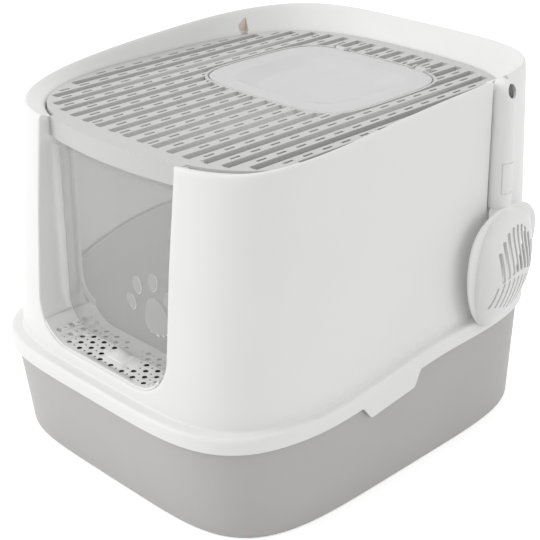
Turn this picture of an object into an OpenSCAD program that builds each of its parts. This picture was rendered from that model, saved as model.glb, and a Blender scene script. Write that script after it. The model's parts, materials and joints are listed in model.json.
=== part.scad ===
// Top entry litter box: grey tray, white hood, grating lid with a flap,
// clear front flap, perforated step and a scoop hung in the corner.
// Front is -Y, the scoop is on the +X side, the floor is Z = 0.

/* [Tray] */
// half width of the tray at the floor
tray_foot_x = 200; // [150:0.5:260]
// reach of the tray's floor to the front and back
tray_foot_y = 238; // [180:0.5:300]
// how much the tray widens from the floor to its rim
tray_flare = 3.2; // [0:0.1:12]
// wall of the tray
tray_wall = 2.4; // [1.6:0.1:5]
// height of the upstand at the back
upstand_high = 181; // [130:1:220]
// height of the upstand at the front
upstand_low = 122; // [110:1:180]

/* [Hood] */
// half width of the hood just above the shoulder
hood_base_x = 197; // [150:0.5:255]
// reach of the hood's wall to the front at the shoulder
hood_front = 247; // [180:0.5:300]
// reach of the hood's wall to the back at the shoulder
hood_back = 245; // [180:0.5:300]
// half width of the hood at the rim
hood_top_x = 193.5; // [150:0.5:250]
// reach of the rim to the front
rim_front = 229.5; // [170:0.5:290]
// reach of the rim to the back
rim_back = 237.3; // [170:0.5:290]
// wall of the hood
wall = 2.5; // [1.6:0.1:5]
// how far the skirt stands out from the wall
flange_out = 10.2; // [6:0.1:20]
// height of the flange, lower edge to shoulder
flange_tall = 16.8; // [10:0.1:30]
// height of the flange's lower edge at the front
parting_z = 105; // [80:1:140]
// rise of the parting line towards the back
parting_rise = 17.5; // [0:0.5:40]
// height of the rim above the lid at the front
rim_low = 3; // [1:0.5:10]
// further rise of the rim at the back
rim_rise = 24; // [5:0.5:40]

/* [Opening] */
// half width of the front opening
door_half = 98; // [70:1:130]
// height of the sill
sill_z = 137; // [125:1:180]
// radius of the opening's lower corners
door_radius = 45; // [10:1:70]
// how far back the jambs reach
jamb_back = 190; // [170:1:215]
// width of the stop behind the flap
stop_wide = 5; // [3:1:20]

/* [Step] */
// gap from the side of the opening to the step's end
step_inset = 10; // [2:0.5:30]
// sheet of the step
step_wall = 2.4; // [1.6:0.1:5]
// diameter of the large holes
step_hole = 5.6; // [2:0.1:8]
// diameter of the small holes
step_pip = 2.3; // [1:0.1:4]
// spacing of the large holes along the step
step_pitch = 16.7; // [10:0.1:30]
// spacing of the rows of holes
step_row = 8.3; // [5:0.1:15]

/* [Lid] */
// height of the lid's top
lid_z = 364; // [250:1:450]
// half width of the lid
lid_x = 187; // [140:0.5:240]
// half length of the lid
lid_y = 217; // [160:0.5:280]
// sheet of the lid
lid_wall = 2; // [1.4:0.1:4]
// depth of the collars round the gaps
collar_deep = 12; // [6:0.5:20]
// wall of the collars
collar_wall = 1.6; // [1.2:0.1:3]
// width of the gaps
gap_wide = 10; // [6:0.5:14]
// spacing of the gaps
gap_pitch = 20.6; // [14:0.1:30]
// half width of the field of gaps
gap_field_x = 172; // [120:1:220]
// half length of the field of gaps
gap_field_y = 201; // [140:1:260]
// length of the short slots in the ribs
dash_long = 12.5; // [6:0.5:20]
// width of the short slots
dash_wide = 3; // [1:0.5:5]
// spacing of the short slots
dash_pitch = 25.5; // [15:0.5:40]
// gap at each end of the apron
apron_gap = 1; // [0.5:0.1:4]
// lower edge of the apron
apron_z = 343.5; // [300:0.5:360]
// position of the lid's pivot
lid_pivot_y = 127; // [90:1:160]
// diameter of the lid's pivots
lid_pin = 7; // [4:0.5:10]

/* [Top flap] */
// half width of the flap
top_flap_x = 101; // [60:1:130]
// half length of the flap
top_flap_y = 93.5; // [60:0.5:120]
// middle of the flap
top_flap_mid = 66.5; // [30:0.5:100]
// depth of the dish
dish_deep = 7; // [2:0.5:20]
// sheet of the flap
flap_wall = 1.8; // [1.2:0.1:4]
// clearance round the flaps
flap_gap = 1.6; // [0.6:0.1:4]
// position of the knuckles
knuckle_x = 58; // [30:1:90]

/* [Front flap] */
// gap at each side of the front flap
flap_side = 8; // [3:0.5:20]
// gap below the front flap
flap_below = 3; // [1:0.5:20]
// sheet of the front flap
front_flap_wall = 3; // [1.5:0.1:5]
// plane of the front flap
front_flap_y = -210; // [-230:1:-190]
// height of the front flap's hinge
front_hinge_z = 337; // [300:1:350]
// radius of the flap's lower corners
front_flap_radius = 35; // [5:1:60]
// diameter of the front flap's pivots
front_pin = 5; // [3:0.5:8]
// how far the paw print stands out of the flap
paw_raise = 0.8; // [0:0.1:2]

/* [Scoop] */
// middle of the scoop along the side
scoop_y = 124; // [110:1:170]
// width of the handle
handle_wide = 28; // [22:1:50]
// depth of the handle
handle_deep = 18; // [10:0.5:26]
// how far the handle leans out from its top to the blade
handle_lean = 7; // [0:0.5:12]
// half width of the blade with its lip
blade_half = 55; // [40:1:75]
// half width of the blade's bowl
bowl_half = 40; // [25:1:60]
// height of the widest place of the blade
blade_mid = 218; // [180:1:240]
// depth of the bowl
bowl_deep = 27; // [18:1:40]
// height of the deepest place of the bowl
bowl_z = 192; // [165:1:215]
// sheet of the scoop
scoop_wall = 2.2; // [1.4:0.1:4]
// lower tip of the scoop
scoop_low = 131; // [110:1:160]
// how far the tip is set towards the front
tip_shift = 21; // [0:1:35]
// height where the handle meets the blade
blade_top = 257; // [235:1:290]
// height of the handle's top over the lid
handle_over = 27; // [10:1:40]
// width of the slots in the blade
scoop_slot = 4.4; // [2:0.1:6]
// spacing of the slots
slot_pitch = 6.5; // [5:0.1:12]
// diameter of the hanging hole
hang_hole = 14; // [8:0.5:20]
// clearance at each side of the handle
scoop_gap = 1; // [0.5:0.1:4]

/* [Fit] */
// clearance between parts that lift off
fit = 0.5; // [0.3:0.1:1.5]
// clearance round pins
pin_fit = 0.4; // [0.3:0.05:1]
// points round each outline
steps = 80; // [48:4:160]

/* [Hidden] */
white = [0.94, 0.94, 0.93];
grey = [0.66, 0.67, 0.67];
pale = [0.82, 0.82, 0.81];
clear = [0.86, 0.87, 0.87, 0.6];
smoky = [0.66, 0.64, 0.62, 0.45];
wave_from = -150;
wave_to = 60;
corner_pull = 7;
body_n = 4.6;
foot_n = 4.9;
foot_back = 4;
back_round = 0.94;
top_n = 4.3;
lid_n = 3.25;
beyond = 60;
skirt_x = hood_base_x + flange_out;
skirt_front = hood_front + 13;
skirt_back = hood_back + 4;
shoulder_z = parting_z + flange_tall;
above = lid_z + 110;
tray_rim_x = tray_foot_x + tray_flare;
tray_rim_y = skirt_front - 3.8;
upstand_x = hood_base_x - 7.2;
upstand_front = hood_front - 7.8;
upstand_back = hood_back - 8.4;
low_z = shoulder_z + 53.2;
high_z = lid_z - 94;
ledge_z = shoulder_z - wall - fit;
well_gap = 1.4;
door_in = door_half - stop_wide;
front_flap_x = door_half - flap_side;
front_flap_low = sill_z + flap_below;
step_half = door_half - step_inset;
apron_half = door_half - apron_gap;
apron_lip = lid_y + 7;
apron_end = lid_y - 2.4;
arc_n = 32;
lid_top_pin = lid_z - lid_pin / 2 - 0.6;
top_hinge_y = top_flap_mid + top_flap_y + 3;
top_hinge_z = lid_z - 1;
pocket_x = hood_base_x - 11.5;
pocket_low = 232;
pocket_half = handle_wide / 2 + scoop_gap;
blade_x = skirt_x + 1.4;
stop_above = 22;
handle_top = lid_z + handle_over;
lug_d = 8;
lug_z = handle_top - scoop_wall - fit - lug_d / 2;
hang_z = handle_top - 11;

function smooth(t) = let (s = min(1, max(0, t))) s * s * (3 - 2 * s);
function parting(y) = parting_rise * smooth((y - wave_from) / (wave_to - wave_from));
function rim(y) = rim_low + rim_rise * (1 - pow(min(1, max(0, 120 - y) / 330), 1.8));
function upstand(y) = (upstand_high - upstand_low) * sin(90 * min(1, max(0, (y + 200) / 210)));
function lift(kind, y) = kind == 1 ? parting(y) : kind == 2 ? upstand(y) : kind == 3 ? rim(y) : 0;

// one outline round the body: half width, front and back reach, squareness,
// height, the rule its height follows along the body, and, where it differs
// from the usual share, the squareness of the back corners
function ring(a, bf, bb, n, z, kind = 0, count = steps, back_n = 0) = [
    for (i = [0 : count - 1])
        let (
            t = 360 * i / count,
            p = t + corner_pull * sin(4 * t),
            c = cos(p),
            s = sin(p),
            e = s <= 0 ? n : back_n > 0 ? back_n : n > 4.2 ? n * back_round : n,
            r = pow(pow(abs(c), e) + pow(abs(s), e), -1 / e),
            y = (s > 0 ? bb : bf) * s * r
        )
        [a * c * r, y, z + lift(kind, y)]
];

// skin stretched over rings that all have the same number of points
module skin(rings, closed = false) {
    n = len(rings[0]);
    m = len(rings);
    last = closed ? m - 1 : m - 2;
    sides = [
        for (j = [0 : last])
            for (i = [0 : n - 1])
                let (
                    k = (j + 1) % m,
                    h = (i + 1) % n
                )
                each [[j * n + i, k * n + i, k * n + h], [j * n + i, k * n + h, j * n + h]]
    ];
    bottom = [for (i = [0 : n - 1]) i];
    top = [for (i = [n - 1 : -1 : 0]) (m - 1) * n + i];
    faces = closed ? sides : concat(sides, [bottom, top]);
    polyhedron(points = [for (r = rings) each r], faces = faces, convexity = 8);
}

module tray() {
    rim_back = skirt_back - 3.8;
    color(grey)
    skin([
        ring(tray_foot_x - 5, tray_foot_y - 5, tray_foot_y - 6, foot_n, 0, 0, steps, foot_back),
        ring(tray_foot_x - 1.6, tray_foot_y - 1.6, tray_foot_y - 2.6, foot_n, 1.4, 0, steps, foot_back),
        ring(tray_foot_x, tray_foot_y, tray_foot_y - 1, foot_n, 5.5, 0, steps, foot_back),
        ring(tray_rim_x, tray_rim_y, rim_back, body_n, ledge_z - 1.2, 1),
        ring(tray_rim_x - 1.2, tray_rim_y - 1.2, rim_back - 1.2, body_n, ledge_z, 1),
        ring(upstand_x + 2.6, upstand_front + 2.3, upstand_back + 2.4, body_n, ledge_z, 1),
        ring(upstand_x + 0.8, upstand_front + 0.8, upstand_back + 0.8, body_n, upstand_low - 0.8, 2),
        ring(upstand_x, upstand_front, upstand_back, body_n, upstand_low, 2),
        ring(upstand_x - 0.8, upstand_front - 0.8, upstand_back - 0.8, body_n, upstand_low, 2),
        ring(upstand_x - 1.6, upstand_front - 1.6, upstand_back - 1.6, body_n, upstand_low - 0.8, 2),
        ring(upstand_x + 0.2, upstand_front - 0.1, upstand_back, body_n, ledge_z - tray_wall, 1),
        ring(tray_rim_x - tray_wall - 0.2, tray_rim_y - tray_wall - 0.2, rim_back - tray_wall - 0.2,
            body_n, ledge_z - tray_wall - 1, 1),
        ring(tray_foot_x - tray_wall, tray_foot_y - tray_wall, tray_foot_y - tray_wall - 1, foot_n, 7, 0,
            steps, foot_back),
        ring(tray_foot_x - 4, tray_foot_y - 4, tray_foot_y - 5, foot_n, tray_wall + 1.2, 0, steps,
            foot_back),
        ring(tray_foot_x - 7, tray_foot_y - 7, tray_foot_y - 8, foot_n, tray_wall, 0, steps, foot_back)
    ]);
}

// outline of the front opening, flat at the bottom with round lower corners
module door_shape(half, low, radius) {
    square_low = low + radius;
    union() {
        translate([-half, square_low]) square([2 * half, above - square_low]);
        translate([radius - half, low]) square([2 * (half - radius), radius + 1]);
        for (s = [-1, 1])
            translate([s * (half - radius), square_low]) circle(r = radius, $fn = arc_n);
    }
}

module along_y(from, to) {
    translate([0, to, 0]) rotate([90, 0, 0]) linear_extrude(to - from) children();
}

// the wall's outlines above the shoulder, moved in by in
function wall_ring(level, in) =
    level == 0 ? ring(hood_base_x - in, hood_front - in, hood_back - in, body_n, shoulder_z + 5, 1,
        steps, 4.8) :
    level == 1 ? ring(hood_base_x - 0.5 - in, hood_front - 2 - in, hood_back - 1 - in, body_n, low_z, 0,
        steps, 5) :
    level == 2 ? ring(hood_base_x - 1.8 - in, hood_front - 8.5 - in, hood_back - 4 - in, 4.45, high_z, 0,
        steps, 4.65) :
    ring(hood_top_x - in, rim_front - in, rim_back - in, top_n, lid_z - 5, 3, steps, 4.3);

// solid that fills the hood, kept just inside its outer skin
module hood_fill() {
    in = wall / 2;
    skin([
        ring(hood_base_x - in, hood_front - in, hood_back - in, body_n, shoulder_z + 2, 0, steps, 4.8),
        wall_ring(1, in),
        wall_ring(2, in),
        ring(hood_top_x - in, rim_front - in, rim_back - in, top_n, lid_z, 0, steps, 4.3)
    ]);
}

module hood_shell() {
    skin([
        ring(skirt_x, skirt_front, skirt_back, body_n, parting_z, 1),
        ring(skirt_x, skirt_front, skirt_back, body_n, shoulder_z - 5, 1),
        ring(skirt_x - 0.9, skirt_front - 0.9, skirt_back - 0.9, body_n, shoulder_z - 1.8, 1),
        ring(skirt_x - 3, skirt_front - 3, skirt_back - 3, body_n, shoulder_z - 0.3, 1),
        ring(hood_base_x + 2.6, hood_front + 2.8, hood_back + 1.6, body_n, shoulder_z, 1, steps, 4.6),
        ring(hood_base_x + 0.6, hood_front + 0.6, hood_back + 0.4, body_n, shoulder_z + 1.6, 1, steps, 4.75),
        wall_ring(0, 0),
        wall_ring(1, 0),
        wall_ring(2, 0),
        wall_ring(3, 0),
        ring(hood_top_x - 0.7, rim_front - 0.9, rim_back - 0.7, top_n, lid_z - 1.6, 3, steps, 4.3),
        ring(hood_top_x - 2.6, rim_front - 3, rim_back - 2.6, 4.25, lid_z, 3, steps, 4.25),
        ring(hood_top_x - 4, rim_front - 5, rim_back - 4.4, 4.2, lid_z - 0.8, 3, steps, 4.2),
        ring(lid_x + well_gap, lid_y + well_gap, lid_y + well_gap, lid_n, lid_z - 2),
        ring(lid_x + well_gap, lid_y + well_gap, lid_y + well_gap, lid_n, lid_z - 16),
        ring(hood_top_x - wall, rim_front - wall, rim_back - wall, top_n, lid_z - 24, 0, steps, 4.3),
        wall_ring(2, wall),
        wall_ring(1, wall),
        ring(hood_base_x - wall, hood_front - wall, hood_back - wall, body_n, shoulder_z - wall, 1,
            steps, 4.7),
        ring(skirt_x - wall, skirt_front - wall, skirt_back - wall, body_n, shoulder_z - wall, 1),
        ring(skirt_x - wall, skirt_front - wall, skirt_back - wall, body_n, parting_z, 1)
    ], closed = true);
}

// the skirt's pull tab on one side
module pull_tab() {
    translate([skirt_x - wall, 0, 0]) rotate([90, 0, 90]) linear_extrude(wall)
        polygon([
            [-90, parting_z + 7], [-86, parting_z + 1], [-76, parting_z - 14], [-71, parting_z - 17],
            [-12, parting_z - 17], [-8, parting_z - 14], [-2, parting_z + 8], [8, parting_z + 20]
        ]);
}

// upright pocket in the side wall that takes the scoop
module pocket(grow, low) {
    translate([pocket_x - grow, scoop_y - pocket_half - grow, low])
        cube([beyond, 2 * (pocket_half + grow), above - low]);
}

module hood() {
    color(white)
    difference() {
        union() {
            hood_shell();
            pull_tab();
            mirror([1, 0, 0]) pull_tab();
            lid_ledge();
            intersection() {
                hood_fill();
                union() {
                    difference() {
                        along_y(-skirt_front, -jamb_back) door_shape(door_half + wall,
                            sill_z - step_wall - wall, door_radius + wall);
                        lid_room();
                    }
                    pocket(wall, pocket_low - wall);
                }
            }
        }
        along_y(-skirt_front - 20, -jamb_back - wall) door_shape(door_half, sill_z - step_wall, door_radius);
        along_y(-jamb_back - wall - 1, -jamb_back + 1) {
            door_shape(door_in, sill_z - step_wall, door_radius);
            intersection() {
                door_shape(door_half, sill_z - step_wall, door_radius);
                translate([-door_half, 0]) square([2 * door_half, sill_z + stop_above]);
            }
        }
        translate([-step_half + 12, -hood_front + 14, sill_z - step_wall - wall - 1])
            cube([2 * step_half - 24, hood_front - jamb_back - 14 - 8, wall + 2]);
        pocket(0, pocket_low);
        for (s = [-1, 1])
            translate([s * 176, lid_pivot_y, 0]) pivot_groove(s);
        front_pin_holes();
    }
    color(white) scoop_lug();
}

// the room that the lid takes above its own lower edge
module lid_room() {
    translate([0, 0, lid_z - collar_deep]) linear_extrude(beyond)
        polygon(outline(lid_x + well_gap, lid_y + well_gap, lid_n));
}

// ledge at the front corners on which the lid rests
module lid_ledge() {
    translate([0, 0, lid_z - 16]) linear_extrude(4) intersection() {
        difference() {
            polygon(outline(lid_x + well_gap + 1, lid_y + well_gap + 1, lid_n));
            polygon(outline(lid_x - 4, lid_y - 4, lid_n));
        }
        for (s = [-1, 1])
            translate([s * 150 - 49, -lid_y - 3]) square([98, 100]);
    }
}

// recess in the rim's inner wall that takes one of the lid's pivots: narrow
// round the pivot, wider above it, with a round top below the rim's edge
module pivot_groove(s) {
    low = lid_pin / 2 + fit;
    high = low + 2.2;
    top = lid_z + rim_low + rim_rise - 4 - high;
    reach = 7.2;
    from = s > 0 ? -4 : -reach;
    translate([from, 0, 0]) rotate([90, 0, 90]) linear_extrude(reach + 4) polygon([
        for (i = [0 : 12]) [-low * cos(15 * i), lid_top_pin - low * sin(15 * i)],
        [low, lid_top_pin + 2],
        for (i = [0 : 12]) [high * cos(15 * i), top + high * sin(15 * i)],
        [-low, lid_top_pin + 2]
    ]);
}

module front_pin_holes() {
    translate([-door_half - wall + 0.8, front_flap_y, front_hinge_z]) rotate([0, 90, 0])
        cylinder(h = 2 * (door_half + wall - 0.8), d = front_pin + 2 * pin_fit, $fn = 24);
}

// lug in the pocket, inside the hollow handle, that carries the scoop
module scoop_lug() {
    translate([pocket_x - 1, scoop_y, lug_z]) rotate([0, 90, 0])
        cylinder(h = handle_deep - 8.5, d = lug_d, $fn = 24);
}

module step_profile(grow) {
    difference() {
        door_shape(door_half - fit, sill_z - step_wall, door_radius);
        door_shape(door_half - fit - step_wall, sill_z, door_radius - step_wall);
    }
}

module entry_step() {
    front = -hood_front + 3;
    back = -jamb_back + 7;
    rows = 6;
    color(white)
    difference() {
        union() {
            intersection() {
                along_y(front, back) step_profile(0);
                translate([-step_half, front, 0]) cube([2 * step_half, back - front, above]);
            }
            // thumb rest in front of the flap
            translate([0, front_flap_y - 7, sill_z - 0.5]) intersection() {
                cylinder(h = 2.5, r1 = 17, r2 = 13, $fn = arc_n);
                translate([-30, -11, 0]) cube([60, 23, 10]);
            }
        }
        for (row = [0 : rows - 1])
            for (i = [-6 : 5]) {
                x = step_pitch * (i + 0.5 - (row % 2) / 2) - 2;
                y = front + 7.6 + step_row * row;
                bare = row == 0 ? 0 : row == 2 ? 24 : row < 4 ? 17 : 10;
                if (abs(x) < step_half - 6 && abs(x) >= bare)
                    translate([x, y, sill_z - 12]) cylinder(h = 40, d = step_hole, $fn = 12);
                mid = x + step_pitch / 2;
                if (abs(mid) < step_half - 6 && abs(mid) > bare - 5)
                    translate([mid, y, sill_z - 12]) cylinder(h = 40, d = step_pip, $fn = 6);
            }
    }
}

// one straight gap with round ends
module gap_shape(x, from, to, w) {
    translate([x - w / 2, from + w / 2]) square([w, to - from - w]);
    translate([x, from + w / 2]) circle(d = w, $fn = 10);
    translate([x, to - w / 2]) circle(d = w, $fn = 10);
}

// all the gaps, each widened by grow
module gap_field(grow) {
    for (i = [-8 : 8]) {
        x = i * gap_pitch;
        reach = gap_field_y * pow(1 - pow(abs(x) / gap_field_x, 4.4), 1 / 4.4);
        gap_shape(x, -reach - grow, reach + grow, gap_wide + 2 * grow);
    }
}

function outline(a, b, n, mid = 0, count = steps) = [
    for (p = ring(a, b, b, n, 0, 0, count)) [p[0], p[1] + mid]
];

module flap_frame(grow) {
    polygon(outline(top_flap_x + grow, top_flap_y + grow, 4.6, top_flap_mid, 48));
}

module dashes() {
    for (i = [-9 : 8]) {
        x = (i + 0.5) * gap_pitch;
        reach = gap_field_y * pow(max(0.02, 1 - pow(abs(x) / (gap_field_x + 8), 4.4)), 1 / 4.4);
        shift = (i % 2 == 0) ? 0 : dash_pitch / 2;
        for (j = [-8 : 8]) {
            y = j * dash_pitch + shift;
            if (abs(y) + dash_long / 2 < reach - 3)
                translate([x - dash_wide / 2, y - dash_long / 2]) square([dash_wide, dash_long]);
        }
    }
}

module apron_shape(grow) {
    lip = apron_lip - grow;
    end = apron_end - grow;
    polygon([
        for (i = [-6 : 6]) [i / 6 * (apron_half - grow), -lip + (lip - end) * pow(i / 6, 2)],
        [apron_half - grow, 22 - lid_y],
        [-apron_half + grow, 22 - lid_y]
    ]);
}

module lid() {
    under = lid_z - lid_wall;
    frame = 2.5;
    ledge_drop = flap_wall;
    color(pale)
    difference() {
        union() {
            // top sheet with the gaps and the short slots cut through
            translate([0, 0, under]) linear_extrude(lid_wall) difference() {
                union() {
                    polygon(outline(lid_x, lid_y, lid_n));
                    apron_shape(0);
                }
                difference() {
                    union() {
                        gap_field(0);
                        dashes();
                    }
                    flap_frame(flap_gap + frame);
                }
                flap_frame(flap_gap);
            }
            // collars round the gaps
            translate([0, 0, lid_z - collar_deep]) linear_extrude(collar_deep - lid_wall) difference() {
                difference() {
                    gap_field(collar_wall);
                    flap_frame(flap_gap + frame - collar_wall);
                }
                difference() {
                    gap_field(0);
                    flap_frame(flap_gap + frame);
                }
            }
            // outer skirt of the lid
            translate([0, 0, lid_z - collar_deep]) linear_extrude(collar_deep - lid_wall) difference() {
                polygon(outline(lid_x, lid_y, lid_n));
                polygon(outline(lid_x - lid_wall, lid_y - lid_wall, lid_n));
            }
            // apron over the front opening
            translate([0, 0, apron_z]) linear_extrude(under - apron_z) difference() {
                apron_shape(0);
                apron_shape(lid_wall + 0.4);
                translate([-apron_half + lid_wall, 4 - lid_y]) square([2 * (apron_half - lid_wall), 20]);
            }
            // frame and ledge under the flap
            translate([0, 0, lid_z - collar_deep]) linear_extrude(collar_deep - lid_wall) difference() {
                flap_frame(flap_gap + frame);
                flap_frame(flap_gap);
            }
            translate([0, 0, lid_z - ledge_drop - fit - lid_wall]) linear_extrude(lid_wall) difference() {
                flap_frame(flap_gap + 0.5);
                flap_frame(-16);
            }
            translate([0, 0, lid_z - collar_deep - 3])
                linear_extrude(collar_deep + 3 - flap_wall - fit) difference() {
                flap_frame(-14);
                flap_frame(-16);
            }
            for (s = [-1, 1]) {
                translate([s > 0 ? 172 : -182.5, lid_pivot_y, lid_top_pin]) rotate([0, 90, 0])
                    cylinder(h = 10.5, d = lid_pin, $fn = 24);
                for (side = [-1, 1])
                    translate([s * knuckle_x + side * 9 - 1.5, top_hinge_y - 3.4, under - 3])
                        cube([3, 7.4, 7.5]);
                translate([s * knuckle_x, top_hinge_y, top_hinge_z]) rotate([0, 90, 0])
                    cylinder(h = 20, d = 2.6, center = true, $fn = 16);
            }
        }
        // room for the knuckles of the flap
        for (s = [-1, 1])
            translate([s * knuckle_x, top_hinge_y, lid_z]) difference() {
                cube([15, 10, 14], center = true);
                translate([0, 0, top_hinge_z - lid_z]) rotate([0, 90, 0])
                    cylinder(h = 20, d = 2.6, center = true, $fn = 16);
            }
    }
}

// outline used for the dished flap, at any size and height
function dish_ring(a, b, n, mid, z) = [
    for (p = ring(a, b, b, n, 0, 0, 48)) [p[0], p[1] + mid, z]
];

module top_flap() {
    mid = top_flap_mid;
    x = top_flap_x;
    y = top_flap_y;
    z = lid_z - 0.2;
    color(clear)
    difference() {
        union() {
            skin([
                dish_ring(x, y, 4.6, mid, z - flap_wall),
                dish_ring(x, y, 4.6, mid, z - 0.5),
                dish_ring(x - 0.5, y - 0.5, 4.6, mid, z),
                dish_ring(x - 21, y - 20, 4.2, mid - 1, z),
                dish_ring(x - 25, y - 23, 4, mid - 2, z - 1.5),
                dish_ring(x - 44, y - 38, 3.6, mid - 7, z - dish_deep + 0.6),
                dish_ring(x - 48, y - 42, 3.6, mid - 7.5, z - dish_deep),
                dish_ring(x - 48, y - 42, 3.6, mid - 7.5, z - dish_deep - flap_wall),
                dish_ring(x - 43, y - 37, 3.6, mid - 7, z - dish_deep - flap_wall + 0.6),
                dish_ring(x - 24, y - 22, 4, mid - 2, z - 1.5 - flap_wall),
                dish_ring(x - 20, y - 19, 4.2, mid - 1, z - flap_wall)
            ], closed = true);
            translate([0, 0, z - dish_deep - flap_wall]) linear_extrude(flap_wall)
                polygon([for (p = dish_ring(x - 47.8, y - 41.8, 3.6, mid - 7.5, 0)) [p[0], p[1]]]);
            for (s = [-1, 1]) {
                translate([s * knuckle_x, top_hinge_y, top_hinge_z]) rotate([0, 90, 0])
                    cylinder(h = 13.4, d = 6, center = true, $fn = 24);
                translate([s * knuckle_x - 6.7, top_hinge_y - 9, z - flap_wall])
                    cube([13.4, 9, flap_wall]);
            }
        }
        translate([0, top_hinge_y, top_hinge_z]) rotate([0, 90, 0])
            cylinder(h = 2 * knuckle_x + 80, d = 2.6 + 2 * pin_fit, center = true, $fn = 16);
        // notches for the cheeks that hold the pins
        for (s = [-1, 1])
            for (side = [-1, 1])
                translate([s * knuckle_x + side * 9 - 2, top_hinge_y - 5.6, z - 10]) cube([4, 12, 20]);
    }
}

// one toe of the paw print, standing on the flap's outer face
module paw_oval(x, z, rx, rz, turn) {
    translate([x, z]) rotate(turn)
        polygon([for (i = [0 : 19]) [rx * cos(18 * i), rz * sin(18 * i)]]);
}

// a plain paw print: four toes and a pad, in the plane of the flap
module paw_print() {
    paw_oval(12.7, 201.5, 6.6, 9.2, 25);
    paw_oval(22.2, 222, 7, 10.2, 8);
    paw_oval(46, 232.4, 7.2, 10.4, -10);
    paw_oval(68.4, 221, 7, 9.8, -28);
    translate([49.7, 195]) rotate(15) polygon([
        for (i = [0 : 35])
            let (a = 10 * i, r = 19 * (1 - 0.1 * sin(3 * a) - 0.04 * cos(2 * a)))
            [r * cos(a), r * sin(a)]
    ]);
}

module front_flap() {
    half = front_flap_x;
    color(smoky)
    union() {
        along_y(front_flap_y - front_flap_wall / 2, front_flap_y + front_flap_wall / 2)
            intersection() {
                door_shape(half, front_flap_low, front_flap_radius);
                square([4 * half, 2 * (front_hinge_z + 3)], center = true);
            }
        along_y(front_flap_y - front_flap_wall / 2 - paw_raise, front_flap_y) paw_print();
        for (s = [-1, 1])
            translate([s > 0 ? half - 14 : -door_half - wall + 1.3, front_flap_y, front_hinge_z])
                rotate([0, 90, 0]) cylinder(h = door_half + wall - 1.3 - half + 14, d = front_pin, $fn = 24);
    }
}

// half width of a blade outline at height z: half wide in the middle, closed
// at top, and the fuller towards the tip the larger n is
function blade_half_at(z, half, top, n, q) =
    let (
        down = (blade_mid - z) / (blade_mid - scoop_low),
        up = (z - blade_mid) / (top - blade_mid)
    )
    z < blade_mid ? half * pow(max(0, 1 - pow(max(0, down), n)), q) :
    half * pow(max(0, 1 - pow(min(1, up), 2.4)), 0.5);

function bowl_at(z) = blade_half_at(z, bowl_half, blade_top + 2, 2.6, 0.6);
function lip_at(z) = blade_half_at(z, blade_half, blade_top + 5, 1.9, 0.65);

// middle of the blade at height z: its tip is set towards the front
function scoop_mid(z) =
    scoop_y - tip_shift * pow(min(1, max(0, (blade_top - z) / (blade_top - scoop_low))), 1.5);

// half width of the scoop's body at height z
function scoop_half(z) =
    let (top = handle_top - handle_wide / 2)
    z > top ? max(2, sqrt(max(0, pow(handle_wide / 2, 2) - pow(z - top, 2)))) :
    z > blade_mid ? max(handle_wide / 2, bowl_at(z)) : max(3, bowl_at(z));

// where the open back of the scoop lies at height z
function scoop_back(z) =
    let (
        from = pocket_x + 0.8,
        lean = handle_lean * min(1, max(0, (handle_top - z) / (handle_top - blade_top))),
        out = blade_x - from - handle_lean
    )
    from + lean + out * smooth((blade_top + 4 - z) / 14);

// how far the scoop bulges out from its back at height z
function scoop_bulge(z) =
    z > bowl_z ? (bowl_deep + (handle_deep - 1 - bowl_deep) * smooth((z - bowl_z) / 52) +
        smooth((z - blade_top) / 60)) * sqrt(1 - pow(max(0, z - handle_top + 13) / 13.4, 2)) :
    3 + (bowl_deep - 3) * pow(max(0, 1 - pow((bowl_z - z) / (bowl_z - scoop_low), 1.7)), 0.8);

function scoop_ring(z, in) =
    let (
        w = scoop_half(z) - in,
        d = scoop_bulge(z) - in,
        open = in > 1 ? 1 : 0,
        n = 18
    )
    [
        for (i = [0 : n])
            let (
                c = cos(180 * i / n),
                q = sin(180 * i / n)
            )
            [scoop_back(z) - open + (d + open) * pow(q, 0.85),
                scoop_mid(z) - w * sign(c) * pow(abs(c), 0.88), z]
    ];

module scoop_body(in) {
    low = scoop_low + 0.4 + in;
    zs = concat(
        [for (i = [0 : 4]) low + 15 * pow(i / 4, 1.6)],
        [for (i = [1 : 7]) low + 15 + i * (blade_top - 40 - scoop_low) / 7],
        [for (i = [1 : 6]) blade_top - 17 + i * 4.5],
        [for (i = [0 : 5]) handle_top - handle_wide / 2 + (handle_wide / 2 - 0.3 - in) * sin(90 * i / 5)]
    );
    skin([for (z = zs) scoop_ring(z, in)]);
}

// outline of the lip round the open back of the blade
function lip_outline() =
    let (
        top = blade_top + 3,
        low = scoop_low + 3,
        zs = [for (i = [0 : 18]) low + (top - low) * (1 - cos(180 * i / 18)) / 2],
        right = [for (z = zs) [scoop_mid(z) + max(2, lip_at(z)), z]],
        left = [for (i = [len(zs) - 1 : -1 : 0]) [scoop_mid(zs[i]) - max(2, lip_at(zs[i])), zs[i]]]
    )
    concat(right, left);

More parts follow.
